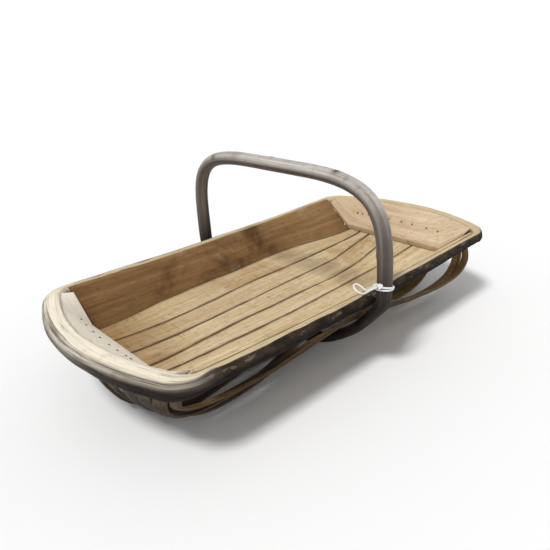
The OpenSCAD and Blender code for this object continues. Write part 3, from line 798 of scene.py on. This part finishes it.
def make_lath(i):
    points, width, tilt = FAR_LATHS[abs(i - MID_LATH)]
    side = -1 if i < MID_LATH else 1
    path = spline(points, 12)
    square = rounded([(-1, -1), (1, -1), (1, 1), (-1, 1)])
    section = refined(square * [width / 2, LATH_T / 2], 2.6)
    rings = []
    for at, step in zip(path, np.gradient(path, axis=0)):
        towards_end = math.radians(min(90, 90 * abs(at[0]) / 270))
        angle = math.radians(tilt * math.cos(towards_end) ** 0.8)
        share = clamp((abs(at[0]) - 170) / 70) ** 2
        turn = -np.sign(at[0]) * share * math.atan(2 * BOW * at[1] / HALF_W**2)
        t = unit(step)
        level = math.cos(angle)
        w = np.array([level * math.sin(turn), level * math.cos(turn), math.sin(angle)])
        w = unit(w - (w @ t) * t)
        up = np.cross(t, w)
        ring = np.array([at + a * w + b * up for a, b in section])
        rings.append(ring * [1, side, 1])
    upward = section[:, 1] / (LATH_T / 2)
    sideways = np.abs(section[:, 0]) / (width / 2)

    def relief(u, v, rings):
        hump = 0.25 * fractal(u * 12, v * 30, i, seed=80, octaves=2)
        return hump + 0.16 * fractal(u * 20, v * 260, i, seed=81)

    def tint(u, v, rings):
        x, z = rings[..., 0], rings[..., 2]
        ragged = -upward[None, :] + 0.5 * fractal(u * 14, v * 60, i, seed=82)
        edge = smooth_step(sideways[None, :], 0.8, 1.0) + 0 * u
        left_top = smooth_step(-x, 235, 268) * smooth_step(z, 52, 80)
        # Painted shade on the laths low under the tray's left half
        under = smooth_step(-x, 0, 120) * (1 - smooth_step(z, 40, 72))
        return edge, smooth_step(ragged, -0.25, 0.35), 0.5 + 0.3 * left_top - 0.45 * under

    name = f"lath_{i}"
    skin(name, rings, LATH, name, relief=relief, shift=20.0 + i, tint=tint, sharp=70)


for number in range(1, LATHS + 1):
    make_lath(number)


# Handle hoop: over the tray as a rounded arch, then under it along HOOP_LOW
HOOP_W, HOOP_H, LEAN, POLE_RX = 171, 132, 5, 9.6
SHAVED_R, POLE_R = 7.2, 8.8
SQUARENESS = 4.4
HOOP_LOW = [[171, 105], [171, 98], [167, 91], [160, 83], [150, 72], [139, 59],
            [124, 46], [100, 29], [74, 14.5], [45, SHAVED_R], [15, SHAVED_R]]
# Each knot is (degrees up the arch, degrees round the pole, size, height)
KNOTS = [(47, 150, 5, 1.1), (86, 60, 4.6, 0.8), (128, 105, 5.5, 1.2), (150, 330, 5, 0.8),
         (163, 215, 5, 0.7)]


def hoop_x(y, z):
    return -0.013 * y - 0.02 * max(0, z - RIM_Z)


def hoop_high(a):
    c, s = math.cos(math.radians(a)), math.sin(math.radians(a))
    r = (abs(c / HOOP_W) ** SQUARENESS + abs(s / HOOP_H) ** SQUARENESS) ** (-1 / SQUARENESS)
    return [r * c - LEAN * r * s / HOOP_H, RIM_Z + r * s]


def hoop_line():
    """The pole's (y, z) line from under the middle of the tray round, with kinks eased out."""
    low = spline([[-y, z] for y, z in HOOP_LOW] + HOOP_LOW[::-1], 14)
    high = np.array([hoop_high(a) for a in np.arange(1.0, 180, 1.0)])
    line = np.roll(np.vstack([high, low]), -len(high) - len(low) // 2, axis=0)
    line = line[np.linalg.norm(line - np.roll(line, 1, axis=0), axis=1) > 0.4]
    for _ in range(3):
        line = (np.roll(line, 1, axis=0) + 2 * line + np.roll(line, -1, axis=0)) / 4
    return line


def make_hoop():
    line = hoop_line()
    step = unit(np.roll(line, -1, axis=0) - np.roll(line, 1, axis=0))
    angles = np.radians(np.arange(0, 360, 9))
    rings = []
    for (y, z), d in zip(line, step):
        r = mix(SHAVED_R, POLE_R, clamp((z - 80) / 30))
        out = np.array([d[1], -d[0]])
        rings.append([
            (hoop_x(y, z) + POLE_RX * math.cos(a), y + out[0] * r * math.sin(a),
             z + out[1] * r * math.sin(a)) for a in angles
        ])

    def knot_field(rings):
        total = 0
        for degrees, turn, size, tall in KNOTS:
            y, z = hoop_high(degrees)
            centre = np.array([hoop_x(y, z), y, z])
            gap = np.linalg.norm(rings.mean(axis=1) - centre, axis=1)[:, None]
            swing = np.angle(np.exp(1j * (angles - math.radians(turn))))[None, :] * POLE_R
            total = total + tall * np.exp(-(gap**2 + swing**2) / (size**2))
        return total

    def relief(u, v, rings):
        sway = 0.55 * fractal(u * 9, v * 12, seed=90, octaves=2)
        facets = 0.35 * fractal(u * 5, v * 60, seed=91, octaves=2)
        facets = facets + 0.12 * fractal(u * 20, v * 260, seed=92)
        lowest = 1 - smooth_step(rings[..., 2], 0.5, 6)
        return (sway + facets) * (1 - lowest) + knot_field(rings)

    def tint(u, v, rings):
        height = rings[..., 2]
        above = height - rings.mean(axis=1, keepdims=True)[..., 2]
        # The upper side of the arch's top, painted paler as light from above
        lit_upper_side = smooth_step(above, -2, 7) * smooth_step(height, 150, 215)
        knots = np.clip(knot_field(rings) / 1.2, 0, 1) ** 1.5
        return knots, 1 - smooth_step(height, 84, 165), lit_upper_side

    skin("handle", rings, POLE, "handle_hoop", closed=True, relief=relief, tint=tint,
         sharp=80)


make_hoop()


# Nails keep their CAD shape
NAIL_NODES = ("nails", "nails_left", "nails_right")
RUSTED_NAILS = ("side_board_nails", "end_board_nails_right")
for name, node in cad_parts.items():
    if name.endswith(NAIL_NODES):
        node.data.materials.clear()
        node.data.materials.append(RUST if name in RUSTED_NAILS else IRON)


# String: ring and knot round the near leg, and the loose loop
STRING_D = 2.2
STRANDS = 3
TIE_Y, TIE_Z = -171.4, 117.5
RING_Y = -171.0
KNOT_AT = np.array([-9.4, -174.5, 123.5])
LOOP_ROUTE = [
    [-11.2, -171.8, 122.8], [-12.2, -167, 119.5], [-12.4, -161.5, 115], [-12, -156, 110.6],
    [-11.2, -150.5, 107.4], [-10.4, -145.5, 106.3], [-9.2, -140.8, 106.6], [-7.4, -135.6, 108],
    [-4.6, -131, 109.4], [-0.8, -129.2, 109.9], [2.4, -131.6, 109.4], [2.8, -137, 107.8],
    [0.8, -143, 106.4], [-2, -148.5, 107.2], [-4.8, -153.5, 110.6], [-7.2, -159, 115.2],
    [-8.8, -164.5, 119.8], [-9.6, -168.4, 122.8], [-9.3, -171, 125.2]
]


def twisted(line, radius, closed, lay=4.6):
    """Rings of a three-strand string along a line, turning once every lay diameters."""
    if closed:
        step = np.roll(line, -1, axis=0) - np.roll(line, 1, axis=0)
    else:
        step = np.gradient(line, axis=0)
    run = lengths(line, closed)[: len(line)]
    turns = 1 / (lay * 2 * radius)
    if closed:
        total = lengths(line, True)[-1]
        turns = round(total * turns * STRANDS) / STRANDS / total
    angles = np.linspace(0, 2 * math.pi, 18, endpoint=False)
    rings = []
    for at, t, s in zip(line, unit(step), run):
        side = unit(np.cross(t, [0.1, 0.2, 1.0]))
        up = np.cross(side, t)
        strand = np.abs(np.cos(STRANDS / 2 * (angles - 2 * math.pi * s * turns)))
        r = radius * (0.84 + 0.2 * strand)
        rings.append([at + k * (math.cos(a) * side + math.sin(a) * up) for k, a in zip(r, angles)])
    return rings


def make_string():
    def tie(name, line):
        rings = twisted(line, STRING_D / 2, True)
        skin(name, rings, STRING, "string_tie", closed=True)

    centre = np.array([hoop_x(TIE_Y, TIE_Z), RING_Y, TIE_Z])
    a = np.radians(np.arange(0, 360, 3))
    for k, (lift, swell, tip) in enumerate([(-1.2, 0.1, 10), (1.4, 0.5, 15)]):
        x = (POLE_RX + STRING_D / 2 + swell) * np.cos(a)
        y = (POLE_R + STRING_D / 2 + swell) * np.sin(a)
        z = lift - x * math.tan(math.radians(tip)) - 0.05 * y
        tie(f"string_ring_{k + 1}", centre + np.column_stack([x, y, z]))
    t = np.linspace(0, 2 * math.pi, 140, endpoint=False)
    wide = 2.0 + 0.9 * np.cos(3 * t)
    x, y, z = wide * np.cos(2 * t), 0.85 * wide * np.sin(2 * t), 1.5 * np.sin(3 * t)
    tie("string_knot", KNOT_AT + np.column_stack([x, y, z]))
    line = spline(LOOP_ROUTE, 8)
    loop = skin("string_loop_soft", twisted(line, STRING_D / 2, False), STRING,
                "string_loop")


make_string()


# Studio: a pale floor that rises gently far from the object, a soft sun and even sky light
FLOOR_SIDES = 64
FLOOR_WHITE = (0.9, 0.9, 0.9, 1)
SKY_WHITE, SKY_STRENGTH = (1, 1, 1, 1), 0.38


def make_floor():
    radii = np.geomspace(0.5, 60, 50)
    turns = np.linspace(0, 2 * math.pi, FLOOR_SIDES, endpoint=False)
    rise = 0.16 * np.maximum(0, radii - 4) * smooth_step(radii, 4, 12)
    rise = rise + 0.012 * np.maximum(0, radii - 10) ** 2
    points = [(r * math.cos(a), r * math.sin(a), z) for r, z in zip(radii, rise) for a in turns]
    faces = []
    for k in range(len(radii) - 1):
        for j in range(FLOOR_SIDES):
            a, b = k * FLOOR_SIDES + j, k * FLOOR_SIDES + (j + 1) % FLOOR_SIDES
            faces.append((a + FLOOR_SIDES, b + FLOOR_SIDES, b, a))
    mesh = bpy.data.meshes.new("studio_floor")
    mesh.from_pydata(points, [], [*faces, tuple(range(FLOOR_SIDES))])
    mesh.polygons.foreach_set("use_smooth", [True] * len(mesh.polygons))
    floor = bpy.data.objects.new("studio_floor", mesh)
    bpy.context.collection.objects.link(floor)
    material = bpy.data.materials.new("studio_floor")
    material.use_nodes = True
    shader = material.node_tree.nodes["Principled BSDF"]
    shader.inputs["Base Color"].default_value = FLOOR_WHITE
    shader.inputs["Roughness"].default_value = 1.0
    shader.inputs["Specular IOR Level"].default_value = 0.0
    mesh.materials.append(material)


def sun(name, towards, strength, angle):
    data = bpy.data.lights.new(name, "SUN")
    data.energy = strength
    data.angle = angle
    light = bpy.data.objects.new(name, data)
    z = unit(-np.array(towards, float))
    x = unit(np.cross([0, 1, 0], z))
    rows = [[*r] for r in zip(x, np.cross(z, x), z)]
    light.matrix_world = Matrix(rows).to_4x4()
    bpy.context.collection.objects.link(light)


make_floor()
sun("key", (0.56, 0.16, -1.0), strength=2.2, angle=0.22)
world = bpy.data.worlds.new("studio")
world.use_nodes = True
sky = world.node_tree.nodes["Background"]
sky.inputs["Color"].default_value = SKY_WHITE
sky.inputs["Strength"].default_value = SKY_STRENGTH
bpy.context.scene.world = world
bpy.context.scene.view_settings.view_transform = "Standard"
